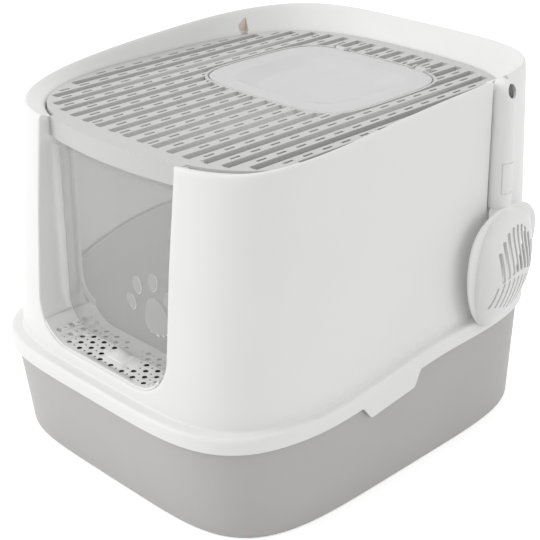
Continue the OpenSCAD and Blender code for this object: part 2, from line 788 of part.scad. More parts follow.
module scoop() {
    color(white)
    difference() {
        union() {
            scoop_body(0);
            // flat lip round the open back of the blade
            translate([blade_x, 0, 0]) rotate([90, 0, 90]) linear_extrude(scoop_wall)
                polygon(lip_outline());
        }
        scoop_body(scoop_wall);
        for (i = [-4 : 4]) {
            y = scoop_y - 3 + i * slot_pitch;
            translate([blade_x + 3, y, 0]) slot_cut(scoop_slot, bowl_z + 6 - 0.5 * i * i,
                bowl_z + 54 - 1.5 * i * i);
            translate([blade_x + 2, y - 5, bowl_z + 2 - 0.5 * i * i]) rotate([-11, 0, 0])
                slot_cut(scoop_slot * 0.45, -38 + 3.2 * abs(i), 0);
        }
        translate([pocket_x, scoop_y, hang_z]) rotate([0, 90, 0])
            cylinder(h = 60, d = hang_hole, $fn = 24);
        // thin outline of the bare plate on the handle
        difference() {
            translate([blade_x - 8, scoop_y - 8, blade_top + 17]) cube([20, 16, 33]);
            translate([blade_x - 9, scoop_y - 7.2, blade_top + 17.8]) cube([22, 14.4, 31.4]);
            scoop_body(0.7);
        }
    }
}

// upright slot with round ends, cut outwards
module slot_cut(w, low, high) {
    rotate([90, 0, 90]) linear_extrude(40) gap_shape(0, low, high, w);
}

tray();
hood();
entry_step();
lid();
top_flap();
front_flap();
scoop();
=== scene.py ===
import json
import math

import bmesh
import bpy
import numpy as np
from mathutils import Matrix, Vector

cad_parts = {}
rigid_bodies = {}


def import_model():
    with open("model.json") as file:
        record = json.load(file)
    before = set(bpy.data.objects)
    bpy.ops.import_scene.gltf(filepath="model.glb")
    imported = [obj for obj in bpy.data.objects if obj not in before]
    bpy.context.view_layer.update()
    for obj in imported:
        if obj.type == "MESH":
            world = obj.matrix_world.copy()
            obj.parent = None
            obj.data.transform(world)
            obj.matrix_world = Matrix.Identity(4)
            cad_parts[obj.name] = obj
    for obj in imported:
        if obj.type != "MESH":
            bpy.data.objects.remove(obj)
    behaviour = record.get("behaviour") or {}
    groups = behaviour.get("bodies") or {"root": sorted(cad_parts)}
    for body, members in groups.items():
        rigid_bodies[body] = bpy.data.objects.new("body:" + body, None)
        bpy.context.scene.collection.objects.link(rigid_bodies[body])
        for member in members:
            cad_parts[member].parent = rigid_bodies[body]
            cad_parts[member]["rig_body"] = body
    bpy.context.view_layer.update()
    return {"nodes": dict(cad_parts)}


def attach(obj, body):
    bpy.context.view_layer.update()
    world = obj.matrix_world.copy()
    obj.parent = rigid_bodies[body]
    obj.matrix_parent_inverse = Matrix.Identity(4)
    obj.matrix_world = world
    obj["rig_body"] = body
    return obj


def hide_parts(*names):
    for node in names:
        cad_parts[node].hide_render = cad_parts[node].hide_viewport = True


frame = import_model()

bl_info = {
    "name": "Top entry litter box",
    "version": (1, 0, 0),
    "blender": (4, 5, 0),
    "location": "3D View > Sidebar > Litter Box",
    "description": "Builds the moulded pieces of a covered litter box round its solid frame",
    "category": "Object",
}

MM = 0.001
BACK_ROUND = 0.94      # squareness of the back corners against the front ones
PARTING_RISE = 17.5    # rise of the parting line towards the back
WAVE = (-150.0, 60.0)  # where the parting line starts and stops rising
TALL = 450.0           # a height above everything, for cutters


# ---------------------------------------------------------------- sizes

def size_mm(name, description, default):
    """A size property in millimetres."""
    return bpy.props.FloatProperty(name=name, description=description + ", mm", default=default)


def tone(name, description, default):
    """A colour property."""
    return bpy.props.FloatVectorProperty(
        name=name, description=description, subtype="COLOR", size=3, default=default)


class BodySizes(bpy.types.PropertyGroup):
    tray_foot_x: size_mm("Tray foot half width", "Half width of the tray at the floor", 200.0)
    tray_foot_y: size_mm("Tray foot reach", "Reach of the tray's foot to the front", 238.0)
    hood_base_x: size_mm("Hood half width", "Half width of the hood above its shoulder", 197.0)
    hood_front: size_mm("Hood front", "Reach of the hood's wall to the front", 247.0)
    hood_back: size_mm("Hood back", "Reach of the hood's wall to the back", 245.0)
    wall: size_mm("Wall", "Wall of the hood", 2.5)
    parting: size_mm("Parting line", "Height of the flange's lower edge at the front", 105.0)
    flange_tall: size_mm("Flange height", "Height of the flange", 16.8)
    lid_z: size_mm("Lid height", "Height of the lid's top", 364.0)
    door_half: size_mm("Door half width", "Half width of the front opening", 98.0)
    sill: size_mm("Sill height", "Height of the step's top", 137.0)
    door_radius: size_mm("Door corner", "Radius of the opening's lower corners", 45.0)
    edge: size_mm("Moulded edge", "Rounding of the moulded edges", 2.2)


class ScoopSizes(bpy.types.PropertyGroup):
    middle: size_mm("Scoop middle", "Place of the scoop along the side", 124.0)
    handle_wide: size_mm("Handle width", "Width of the handle", 25.4)
    set_back: size_mm("Handle set back", "How far the handle is set back from the blade's middle", 1.3)
    handle_deep: size_mm("Handle depth", "Depth of the handle", 18.0)
    lean: size_mm("Lean", "How far the handle leans out to the blade", 7.0)
    lip_half: size_mm("Lip half width", "Half width of the blade with its lip", 55.0)
    bowl_half: size_mm("Bowl half width", "Half width of the bowl", 40.0)
    widest: size_mm("Widest place", "Height of the blade's widest place", 218.0)
    bowl_deep: size_mm("Bowl depth", "Depth of the bowl", 27.0)
    bowl_z: size_mm("Deepest place", "Height of the bowl's deepest place", 192.0)
    low: size_mm("Tip", "Height of the tip", 131.0)
    tip_shift: size_mm("Tip shift", "How far the tip is set to the front", 21.0)
    blade_top: size_mm("Blade top", "Height where the handle meets the blade", 257.0)
    top: size_mm("Handle top", "Height of the handle's top", 391.0)
    sheet: size_mm("Sheet", "Sheet of the scoop", 2.2)
    slot: size_mm("Slot", "Width of the slots", 4.4)
    pitch: size_mm("Slot spacing", "Spacing of the slots", 6.5)


class Colours(bpy.types.PropertyGroup):
    white: tone("White plastic", "Hood, step and scoop", (0.80, 0.80, 0.795))
    grey: tone("Grey plastic", "Tray", (0.46, 0.455, 0.445))
    pale: tone("Pale grey plastic", "Lid", (0.56, 0.56, 0.55))
    milky: tone("Milky plastic", "Top flap", (0.68, 0.685, 0.68))
    smoky: tone("Smoky plastic", "Front flap", (0.53, 0.53, 0.52))


def body():
    return bpy.context.scene.litter_body


def scoop_sizes():
    return bpy.context.scene.litter_scoop


def colours():
    return bpy.context.scene.litter_colours


# ---------------------------------------------------------------- shapes

def smooth(t):
    """Three t squared less two t cubed, held between 0 and 1."""
    s = np.clip(t, 0.0, 1.0)
    return s * s * (3.0 - 2.0 * s)


def parting_lift(y):
    """Rise of the parting line: a smooth step along the body."""
    return PARTING_RISE * smooth((y - WAVE[0]) / (WAVE[1] - WAVE[0]))


def rim_lift(y):
    """Height of the rim over the lid: low at the front, bending up to level behind."""
    return 3.0 + 24.0 * (1.0 - np.clip((120.0 - y) / 330.0, 0.0, 1.0) ** 1.8)


def upstand_lift(y):
    """Rise of the tray's upstand over its front height: a quarter sine wave."""
    return 59.0 * np.sin(np.pi / 2 * np.clip((y + 200.0) / 210.0, 0.0, 1.0))


def tab_drop(y):
    """Drop of the skirt's lower edge at the pull tabs: a trapezoid with soft corners."""
    rise = smooth((y + 89.0) / 17.0)
    fall = smooth((1.0 - y) / 12.0)
    return np.minimum(rise, fall)


def angles(count, extra=()):
    """Directions round the body, crowded at the corners, with more near the pull tabs."""
    t = np.linspace(0.0, 2.0 * np.pi, count, endpoint=False)
    p = t + np.radians(7.0) * np.sin(4.0 * t)
    more = np.array([a % (2.0 * np.pi) for a in extra])
    return np.unique(np.concatenate([p, more]).round(6))


def superellipse(half, front, back, n, behind, phi):
    """Points of |x / half|^n + |y / reach|^n = 1 in the directions phi, with another
    reach and squareness to the back. Sizes may be columns, for many outlines at once."""
    c, s = np.cos(phi), np.sin(phi)
    e = np.where(s > 0, behind, n)
    r = (np.abs(c) ** e + np.abs(s) ** e) ** (-1.0 / e)
    return half * c * r, np.where(s > 0, back, front) * s * r


def fillet(rows, radii, closed, cuts=4):
    """A polyline of rows with each corner replaced by a parabola that starts and ends
    at the corner's radius from it. Every column of the rows is blended in the same way."""
    rows = np.asarray(rows, float)
    out = []
    m = len(rows)
    for i in range(m):
        if not closed and i in (0, m - 1):
            out.append(rows[i])
            continue
        p, a, b = rows[i], rows[i - 1], rows[(i + 1) % m]
        la = max(1e-6, np.linalg.norm((a - p)[[0, 1, 4]]))
        lb = max(1e-6, np.linalg.norm((b - p)[[0, 1, 4]]))
        p1 = p + (a - p) * min(radii[i] / la, 0.48)
        p2 = p + (b - p) * min(radii[i] / lb, 0.48)
        for t in np.linspace(0.0, 1.0, cuts):
            out.append((1 - t) ** 2 * p1 + 2 * t * (1 - t) * p + t * t * p2)
    return np.array(out)


def body_rings(rows, phi):
    """Rings round the body, one for each row of half width, front, back, squareness,
    height and the shares of the parting, upstand, rim and tab rules in that height."""
    r = np.asarray(rows, float)[:, :, None]
    x, y = superellipse(r[:, 0], r[:, 1], r[:, 2], r[:, 3], r[:, 9], phi[None, :])
    z = (r[:, 4] + r[:, 5] * parting_lift(y) + r[:, 6] * upstand_lift(y)
         + r[:, 7] * rim_lift(y) - r[:, 8] * tab_drop(y))
    return np.stack([x, y, z], axis=-1) * MM


def mesh_from(name, points, faces):
    mesh = bpy.data.meshes.new(name)
    mesh.from_pydata(points.tolist(), [], faces)
    mesh.validate()
    obj = bpy.data.objects.new(name, mesh)
    bpy.context.scene.collection.objects.link(obj)
    return obj


def skin(name, grid, loop_rows=False, loop_columns=True, caps=True):
    """Mesh over a grid of points: rows follow the first index and columns the second."""
    m, n = grid.shape[:2]
    idx = np.arange(m * n).reshape(m, n)
    i1 = np.roll(idx, -1, 0) if loop_rows else idx[1:]
    i0 = idx if loop_rows else idx[:-1]
    if loop_columns:
        a, b, c, d = i0, np.roll(i0, -1, 1), np.roll(i1, -1, 1), i1
    else:
        a, b, c, d = i0[:, :-1], i0[:, 1:], i1[:, 1:], i1[:, :-1]
    faces = np.stack([a, b, c, d], -1).reshape(-1, 4).tolist()
    if caps and not loop_rows and loop_columns:
        faces.append(idx[0][::-1].tolist())
        faces.append(idx[-1].tolist())
    return mesh_from(name, grid.reshape(-1, 3), faces)


def between(name, near, far):
    """Closed solid between two grids of the same size, such as the faces of a plate."""
    m, n = near.shape[:2]
    idx = np.arange(m * n).reshape(m, n)
    off = m * n
    quads = np.stack([idx[:-1, :-1], idx[:-1, 1:], idx[1:, 1:], idx[1:, :-1]], -1).reshape(-1, 4)
    edge = np.concatenate([idx[0, :-1], idx[:-1, -1], idx[-1, :0:-1], idx[:0:-1, 0]])
    nxt = np.roll(edge, -1)
    sides = np.stack([edge, edge + off, nxt + off, nxt], -1)
    faces = np.concatenate([quads, quads[:, ::-1] + off, sides[:, ::-1]]).tolist()
    obj = mesh_from(name, np.concatenate([near.reshape(-1, 3), far.reshape(-1, 3)]), faces)
    point_out(obj)
    return obj


def point_out(obj):
    """Welds the mesh and turns its faces outward."""
    bm = bmesh.new()
    bm.from_mesh(obj.data)
    bmesh.ops.remove_doubles(bm, verts=bm.verts, dist=1e-7)
    bmesh.ops.recalc_face_normals(bm, faces=bm.faces)
    bm.to_mesh(obj.data)
    bm.free()


def block(name, low, high):
    """Plain box between two corners in mm, for cutters and joins."""
    (x0, y0, z0), (x1, y1, z1) = low, high
    near = np.array([[[x0, y0, z0], [x1, y0, z0]], [[x0, y0, z1], [x1, y0, z1]]]) * MM
    far = near.copy()
    far[..., 1] = y1 * MM
    return between(name, near, far)


def rod(name, start, axis, length, radius, count=48):
    """Cylinder from a start point along an axis, in mm: a circle carried along a line."""
    t = np.linspace(0, 2 * np.pi, count, endpoint=False)
    w = Vector(axis).normalized()
    u = w.orthogonal().normalized()
    v = w.cross(u)
    ring = radius * (np.cos(t)[:, None] * np.array(u) + np.sin(t)[:, None] * np.array(v))
    grid = np.stack([np.array(start) + ring, np.array(start) + np.array(w) * length + ring]) * MM
    obj = skin(name, grid)
    point_out(obj)
    return obj


def merge(name, objs):
    """One object that holds the meshes of several."""
    points, faces, base = [], [], 0
    for o in objs:
        points.append(np.array([v.co for v in o.data.vertices]))
        faces += [[base + i for i in p.vertices] for p in o.data.polygons]
        base += len(o.data.vertices)
        bpy.data.objects.remove(o)
    return mesh_from(name, np.concatenate(points), faces)


def settle(obj):
    """Applies the object's modifiers to its mesh."""
    graph = bpy.context.evaluated_depsgraph_get()
    graph.update()
    mesh = bpy.data.meshes.new_from_object(obj.evaluated_get(graph))
    obj.modifiers.clear()
    obj.data = mesh
    return obj


def cut(obj, cutter, operation="DIFFERENCE"):
    """Boolean of one closed mesh with another, which is used up."""
    mod = obj.modifiers.new("cut", "BOOLEAN")
    mod.operation = operation
    mod.solver = "EXACT"
    mod.object = cutter
    settle(obj)
    bpy.data.objects.remove(cutter)
    return obj


def finish_piece(obj, node, material, sharp=32.0, weigh=False):
    """Smooths the shading, gives the material and puts the piece on its body."""
    obj.data.materials.clear()
    obj.data.materials.append(material)
    obj.data.polygons.foreach_set("use_smooth", [True] * len(obj.data.polygons))
    obj.data.set_sharp_from_angle(angle=math.radians(sharp))
    if weigh:
        mod = obj.modifiers.new("weigh", "WEIGHTED_NORMAL")
        mod.keep_sharp = True
        mod.weight = 100
        settle(obj)
    riding = frame["nodes"][node]["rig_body"]
    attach(obj, riding)
    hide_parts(node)
    return obj


# ---------------------------------------------------------------- materials

class Sock:
    """A socket in a node tree. Sums on it add Math nodes."""

    def __init__(self, maker, socket):
        self.maker, self.socket = maker, socket

    def _math(self, operation, a, b):
        return self.maker.add("ShaderNodeMath", {"operation": operation}, {0: a, 1: b})

    def __add__(self, other): return self._math("ADD", self, other)
    def __radd__(self, other): return self._math("ADD", other, self)
    def __sub__(self, other): return self._math("SUBTRACT", self, other)
    def __rsub__(self, other): return self._math("SUBTRACT", other, self)
    def __mul__(self, other): return self._math("MULTIPLY", self, other)
    def __rmul__(self, other): return self._math("MULTIPLY", other, self)


class Maker:
    """Adds nodes to one material."""

    def __init__(self, name):
        self.material = bpy.data.materials.new(name)
        self.material.use_nodes = True
        self.tree = self.material.node_tree
        self.shader = self.tree.nodes["Principled BSDF"]
        self.out = self.tree.nodes["Material Output"]

    def add(self, kind, settings=None, values=None, output=0):
        node = self.tree.nodes.new(kind)
        for key, value in (settings or {}).items():
            setattr(node, key, value)
        for key, value in (values or {}).items():
            if isinstance(value, Sock):
                self.tree.links.new(value.socket, node.inputs[key])
            else:
                node.inputs[key].default_value = value
        return Sock(self, node.outputs[output])

    def math(self, operation, *values):
        return self.add("ShaderNodeMath", {"operation": operation}, dict(enumerate(values)))

    def place(self):
        return self.add("ShaderNodeTexCoord", output="Object")

    def noise(self, scale, detail=2.0, rough=0.5):
        return self.add("ShaderNodeTexNoise", {}, {
            "Vector": self.place(), "Scale": scale, "Detail": detail, "Roughness": rough}, "Fac")

    def blend(self, factor, first, second):
        """A mix of two colours."""
        return self.add("ShaderNodeMix", {"data_type": "RGBA"}, {"Factor": factor, 6: first, 7: second}, 2)

    def link(self, sock, name):
        self.tree.links.new(sock.socket, self.shader.inputs[name])

    def set(self, **values):
        for key, value in values.items():
            self.shader.inputs[key.replace("_", " ")].default_value = value


# painted shade: warm darker colour on the backs of the lid's pivot recesses, standing in for bounced light
RECESS_PAINTED_SHADE = (0.66, 0.58, 0.51)
# painted shade: near black on the walls of the step's holes, for the dark space under the step
HOLE_PAINTED_SHADE = (0.02, 0.02, 0.02)
# painted highlight: pale colour on the paw print's outlines where the flap bends the light
PAINTED_GLINT = (0.82, 0.82, 0.81)


def recess_shade_mask(m):
    """One on the backs of the lid's two pivot recesses, by their own outline: nearer
    than their half width to the line that goes up from the pivot. A warm painted shade goes
    there, standing in for bounced light in the recesses."""
    pivot_y, bend, half, low = 0.127, 0.381, 0.0061, 0.3665
    inside, outside = 0.17, 0.1835
    x, y, z = (m.add("ShaderNodeSeparateXYZ", {}, {0: m.place()}, axis) for axis in "XYZ")
    over = m.math("MAXIMUM", z - bend, 0.0)
    along = y - pivot_y
    near = m.math("LESS_THAN", m.math("SQRT", along * along + over * over), half)
    aside = m.math("ABSOLUTE", x)
    out = m.math("GREATER_THAN", aside, inside) * m.math("LESS_THAN", aside, outside)
    return near * out * m.math("GREATER_THAN", z, low)


def hole_shade_mask(m):
    """One on the walls of the step's holes, below its top and away from its edges: there near-black painted
    shade stands in for the dark space under the step.
    """
    top, half, front, back = 0.13675, 0.083, -0.241, -0.1845
    x, y, z = (m.add("ShaderNodeSeparateXYZ", {}, {0: m.place()}, axis) for axis in "XYZ")
    below = m.math("LESS_THAN", z, top)
    inner = m.math("LESS_THAN", m.math("ABSOLUTE", x), half)
    ahead = m.math("GREATER_THAN", y, front)
    return below * inner * ahead * m.math("LESS_THAN", y, back)


def plastic(name, colour, rough, grain, shade_mask=None, shade_colour=None):
    """Moulded plastic: a fine spark-eroded grain in the bump, a faint cloudiness in the
    colour and a little scuffing in the gloss. Where the mask is 1, a painted shade colour shows."""
    m = Maker(name)
    cloud = m.noise(9.0, 3.0)
    scuff = m.noise(60.0, 4.0, 0.6)
    fine = m.noise(1800.0, 2.0, 0.6)
    dark = tuple(c * 0.965 for c in colour) + (1.0,)
    light = tuple(min(1.0, c * 1.02) for c in colour) + (1.0,)
    tint = m.blend(cloud, dark, light)
    # painted shade: where the mask is 1, its colour replaces the plastic's
    if shade_mask is not None:
        tint = m.blend(shade_mask(m), tint, shade_colour + (1.0,))
    m.link(tint, "Base Color")
    m.link(rough + (scuff - 0.5) * 0.14, "Roughness")
    bump = m.add("ShaderNodeBump", {}, {"Strength": grain, "Distance": 0.0002, "Height": fine})
    m.link(bump, "Normal")
    m.set(Specular_IOR_Level=0.45)
    return m


def clear_plastic(name, colour, alpha, rough, outline=0.0, veiled=False):
    """See-through plastic: alpha holds how much it hides, with faint flow marks. The
    attribute relief holds a painted highlight: it is 1 where raised work bends the light, which
    shows pale and less clear there, scaled by outline."""
    m = Maker(name)
    cloud = m.noise(14.0, 3.0)
    relief = m.add("ShaderNodeAttribute", {"attribute_name": "relief"}, {}, "Fac") * outline
    tint = m.blend(cloud, tuple(c * 0.95 for c in colour) + (1.0,), tuple(colour) + (1.0,))
    # painted highlight: the paw print's outlines are drawn paler and less see-through
    tint = m.blend(relief, tint, PAINTED_GLINT + (1.0,))
    m.link(tint, "Base Color")
    m.link(rough + (m.noise(45.0, 3.0) - 0.5) * 0.08, "Roughness")
    body = alpha + (cloud - 0.5) * 0.05
    if veiled:
        body = body * m.add("ShaderNodeAttribute", {"attribute_name": "veil"}, {}, "Fac")
    m.link(body + relief, "Alpha")
    bump = m.add("ShaderNodeBump", {}, {"Strength": 0.06, "Distance": 0.0003, "Height": m.noise(12.0, 1.0)})
    m.link(bump, "Normal")
    m.set(Specular_IOR_Level=0.5)
    return m


def finishes():
    """The materials, made once."""
    if "white_plastic" not in bpy.data.materials:
        c = colours()
        plastic("hood_plastic_painted_shade", tuple(c.white), 0.42, 0.18, recess_shade_mask, RECESS_PAINTED_SHADE)
        plastic("step_plastic_painted_shade", tuple(c.white), 0.42, 0.18, hole_shade_mask, HOLE_PAINTED_SHADE)
        plastic("white_plastic", tuple(c.white), 0.42, 0.18)
        plastic("grey_plastic", tuple(c.grey), 0.5, 0.35)
        plastic("pale_plastic", tuple(c.pale), 0.44, 0.25)
        clear_plastic("milky_plastic", tuple(c.milky), 0.86, 0.3)
        clear_plastic("smoky_plastic", tuple(c.smoky), 0.38, 0.14, 0.6, True)
    return bpy.data.materials


# ---------------------------------------------------------------- pieces

def tab_angles():
    """Directions in which the pull tabs' edges lie, on both sides."""
    ys = np.concatenate([np.linspace(-92, -68, 18), np.linspace(-14, 4, 16)])
    right = np.arctan2(ys, 260.0)
    return np.concatenate([right, np.pi - right])


def row(half, front, back, n, z, part=0.0, up=0.0, rim=0.0, tab=0.0, behind=None):
    """One outline of the body; the corners behind are a little rounder unless given."""
    if behind is None:
        behind = n * BACK_ROUND if n > 4.2 else n
    return [half, front, back, n, z, part, up, rim, tab, behind]


def hood_rows():
    b = body()
    w = b.wall
    x, f, k = b.hood_base_x, b.hood_front, b.hood_back
    sx, sf, sb = x + 10.2, f + 13.0, k + 4.0
    sh = b.parting + b.flange_tall
    n = 4.6
    tab = 17.0
    pairs = [
        (row(sx, sf, sb, n, b.parting, 1, 0, 0, tab), 1.0),
        (row(sx, sf, sb, n, sh - 0.2, 1), 5.5),
        (row(x + 0.2, f + 0.2, k + 0.2, n, sh, 1, behind=4.75), 2.6),
        (row(x - 0.1, f, k, n, sh + 14, 0.9, behind=4.85), 6.0),
        (row(x - 0.5, f - 2, k - 1, n, 175, behind=5.0), 20.0),
        (row(x - 1.8, f - 8.5, k - 4, 4.45, 270, behind=4.65), 40.0),
        (row(193.5, 229.5, 237.3, 4.3, b.lid_z - 4, rim=1, behind=4.3), 8.0),
        (row(191.6, 227.4, 235.4, 4.27, b.lid_z + 0.4, rim=1, behind=4.27), 2.6),
        (row(189.6, 224.8, 233.2, 4.2, b.lid_z - 0.8, rim=1), 2.4),
        (row(188.4, 218.4, 218.4, 3.25, b.lid_z - 2), 2.0),
        (row(188.4, 218.4, 218.4, 3.25, b.lid_z - 16), 1.0),
        (row(193.5 - w, 229.5 - w, 237.3 - w, 4.3, b.lid_z - 24, behind=4.3), 3.0),
        (row(x - 1.8 - w, f - 8.5 - w, k - 4 - w, 4.45, 270, behind=4.65), 40.0),
        (row(x - 0.5 - w, f - 2 - w, k - 1 - w, n, 175, behind=5.0), 20.0),
        (row(x - w, f - w, k - w, n, sh - w, 1, behind=4.7), 1.0),
        (row(sx - w, sf - w, sb - w, n, sh - w, 1), 3.0),
        (row(sx - w, sf - w, sb - w, n, b.parting, 1, 0, 0, tab), 1.0),
    ]
    return [r for r, _ in pairs], [q for _, q in pairs]


def wall_at(z):
    """Half width, front reach and squareness of the hood's outer wall at a height."""
    zs = [110, 136, 175, 270, 360]
    return (np.interp(z, zs, [197, 197, 196.5, 195.2, 193.5]),
            np.interp(z, zs, [247.1, 247, 245, 238.5, 229.5]),
            np.interp(z, zs, [4.6, 4.6, 4.6, 4.45, 4.3]))


def front_at(x, z):
    """The hood's front surface: y of the wall's superellipse at x and z."""
    a, bf, n = wall_at(z)
    return -bf * np.clip(1 - np.abs(x / a) ** n, 0.02, 1) ** (1 / n)


def side_at(y, z):
    """The hood's side surface: x of the wall's superellipse at y and z."""
    a, bf, n = wall_at(z)
    zs = [110, 136, 175, 270, 360]
    reach = np.where(y > 0, np.interp(z, zs, [245, 245, 244, 241, 237.3]), bf)
    e = np.where(y > 0, np.interp(z, zs, [4.8, 4.8, 5.0, 4.65, 4.3]), n)
    return a * np.clip(1 - np.abs(y / reach) ** e, 0.02, 1) ** (1 / e)


def door_outline(half, low, radius, top, count=24):
    """Half of a closed U: straight up the side, round the lower corner, along the sill,
    mirrored. Returned as x and z, going once round."""
    t = np.linspace(0, np.pi / 2, count)
    right_x = np.concatenate([np.linspace(0, half - radius, 12)[:-1], half - radius + radius * np.sin(t),
                              np.full(24, half)])
    right_z = np.concatenate([np.full(11, low), low + radius - radius * np.cos(t),
                              np.linspace(low + radius, top, 25)[1:]])
    x = np.concatenate([right_x, -right_x[::-1][:-1]])
    z = np.concatenate([right_z, right_z[::-1][:-1]])
    return x, z


def make_hood():
    b = body()
    rows, radii = hood_rows()
    rows = fillet(rows, radii, True, 5)
    phi = angles(300, tab_angles())
    hood = skin("Hood", body_rings(rows, phi), loop_rows=True)
    point_out(hood)
    w = b.wall
    low = b.sill - 2.4
    # jambs and the floor of the entry: a U strip from the front skin back
    x, z = door_outline(b.door_half, low, b.door_radius, b.lid_z - 3)
    nx, nz = outward(x, z)
    front = front_at(x, np.minimum(z, 358)) + w / 2
    strip = []
    back = np.full_like(x, -190.0)
    for inset, y in ((-0.6, front), (w, front), (w, back), (-0.6, back)):
        strip.append(np.stack([x + nx * inset, y, z + nz * inset], -1))
    jambs = skin("jambs", np.stack(strip, 1) * MM, loop_columns=True, caps=True)
    point_out(jambs)
    cut(hood, jambs, "UNION")
    # the stop behind the flap
    x1, z1 = door_outline(b.door_half, low + 24, 30, b.lid_z - 4)
    nx1, nz1 = outward(x1, z1)
    keep = z1 > low + 24.5
    stop = []
    for inset, y in ((-5.0, -192.4), (1.0, -192.4), (1.0, -190.0), (-5.0, -190.0)):
        stop.append(np.stack([x1 + nx1 * inset, np.full_like(x1, y), z1 + nz1 * inset], -1))
    stops = np.stack(stop, 1)[keep] * MM
    half = len(stops) // 2
    for k, part in enumerate((stops[:half], stops[half:])):
        s = skin(f"stop{k}", part, loop_columns=True, caps=True)
        point_out(s)
        cut(hood, s, "UNION")
    # the pocket's wall
    ys = np.linspace(b_pocket()[0] - w, b_pocket()[1] + w, 20)
    zs = np.linspace(POCKET_LOW - w, 389, 60)
    Y, Z = np.meshgrid(ys, zs)
    out = np.stack([side_at(Y, np.minimum(Z, 360)) - w / 2, Y, Z], -1) * MM
    inn = np.stack([np.full_like(Y, POCKET_X - w), Y, Z], -1) * MM
    cut(hood, between("pocket wall", out, inn), "UNION")
    # the opening, with a rounded edge where it meets the front
    x, z = door_outline(b.door_half, low, b.door_radius, TALL)
    nx, nz = outward(x, z)
    skin_y = front_at(np.clip(x, -150, 150), np.minimum(z, 360))
    r = b.edge
    grid = [np.stack([x + nx * (r + 0.3), np.full_like(x, -290.0), z + nz * (r + 0.3)], -1)]
    for t in np.linspace(-0.25, 1.0, 7):
        d = r * t
        grow = r - math.sqrt(max(0.0, r * r - (r - max(d, 0)) ** 2)) if d > 0 else r + 0.3
        grid.append(np.stack([x + nx * grow, skin_y + d, z + nz * grow], -1))
    grid.append(np.stack([x, np.full_like(x, -192.4), z], -1))
    opening = skin("opening", np.stack(grid) * MM)
    point_out(opening)
    cut(hood, opening)
    cut(hood, block("window", (-76, -233, 125), (76, -198, 136)))
    across = b.door_half - 0.1
    cut(hood, block("over", (-across, -196, b.lid_z - 4), (across, -188, b.lid_z + 4)))
    # pocket, grooves round the lid's pivots and the lug that the scoop hangs on
    cut(hood, pocket_cutter())
    for s in (-1, 1):
        x0 = 172.0 if s > 0 else -183.2
        cut(hood, groove_cutter(x0, x0 + 11.2))
    lug = rod("lug", (POCKET_X - 1, scoop_sizes().middle, 384.3), (1, 0, 0), 9.5, 4.0)
    cut(hood, lug, "UNION")
    return finish_piece(hood, "hood", finishes()["hood_plastic_painted_shade"], 34)


POCKET_X = 185.5
POCKET_LOW = 232.0


def b_pocket():
    """Front and back edges of the scoop's pocket along the side."""
    s = scoop_sizes()
    return s.middle - s.handle_wide / 2 - 1, s.middle + s.handle_wide / 2 + 1


def pocket_cutter():
    """Upright channel whose mouth flares out in a small round at the wall's surface."""
    y0, y1 = b_pocket()
    zs = np.linspace(POCKET_LOW, TALL, 80)
    rows = []
    for z in zs:
        xs = float(side_at(np.array(y0), np.array(min(z, 360.0))))
        r = 1.5
        t = np.linspace(0, np.pi / 2, 6)
        left = np.stack([xs - r + r * np.sin(t), y0 - (r - r * np.cos(t))], -1)
        xr = float(side_at(np.array(y1), np.array(min(z, 360.0))))
        right = np.stack([xr - r + r * np.sin(t), y1 + (r - r * np.cos(t))], -1)
        loop = np.concatenate([[[POCKET_X, y0 + 2], [POCKET_X + 0.5, y0 + 0.5], [POCKET_X + 2, y0]], left,
                               [[220, y0 - r - 0.2], [220, y1 + r + 0.2]], right[::-1],
                               [[POCKET_X + 2, y1], [POCKET_X + 0.5, y1 - 0.5], [POCKET_X, y1 - 2]]])
        rows.append(np.concatenate([loop, np.full((len(loop), 1), z)], -1))
    obj = skin("pocket", np.array(rows) * MM)
    point_out(obj)
    return obj


def groove_cutter(x0, x1):
    """Recess for one of the lid's pivots: an arc round the pivot, a wider round top."""
    t = np.linspace(0, np.pi, 25)
    low, high = 4.0, 6.2
    top = 387.0 - high
    y = np.concatenate([127 - low * np.cos(t), 127 + high * np.cos(t)])
    z = np.concatenate([359.9 - low * np.sin(t), top + high * np.sin(t)])
    grid = np.stack([np.stack([np.full_like(y, x), y, z], -1) for x in (x0, x1)]) * MM
    obj = skin("groove", grid)
    point_out(obj)
    return obj


def outward(x, z):
    """Unit normals of an open path in x and z that runs along the bottom from the middle
    right and back on the left, pointing out of the opening."""
    tx, tz = np.gradient(x), np.gradient(z)
    size = np.maximum(1e-9, np.hypot(tx, tz))
    return tz / size, -tx / size


def make_tray():
    b = body()
    fx, fy = b.tray_foot_x, b.tray_foot_y
    w = 2.4
    sf, sb = b.hood_front + 13.0, b.hood_back + 4.0
    ledge = b.parting + b.flange_tall - b.wall - 0.5
    n, f = 4.6, 4.9
    rows = [
        (row(fx - 6, fy - 6, fy - 7, f, 0), 0),
        (row(fx - 0.4, fy - 0.4, fy - 1.4, f, 0), 5.0),
        (row(fx + 3.2, sf - 3.8, sb - 3.8, n, ledge, 1), 1.4),
        (row(192.4, 241.5, 239, n, ledge, 1), 1.2),
        (row(189.8, 239.2, 236.6, n, 122, 0, 1), 1.0),
        (row(188.2, 237.6, 235.0, n, 122, 0, 1), 1.0),
        (row(190, 239.1, 236.6, n, ledge - w, 1), 2.0),
        (row(fx + 0.6, sf - 6.4, sb - 6.4, n, ledge - w - 1, 1), 2.0),
        (row(fx - w - 0.3, fy - w - 0.3, fy - w - 1.3, f, w), 6.0),
        (row(fx - 12, fy - 12, fy - 13, f, w), 0),
    ]
    rows = fillet([r for r, _ in rows], [q for _, q in rows], False, 5)
    tray = skin("Tray", body_rings(rows, angles(300)))
    point_out(tray)
    return finish_piece(tray, "tray", finishes()["grey_plastic"])


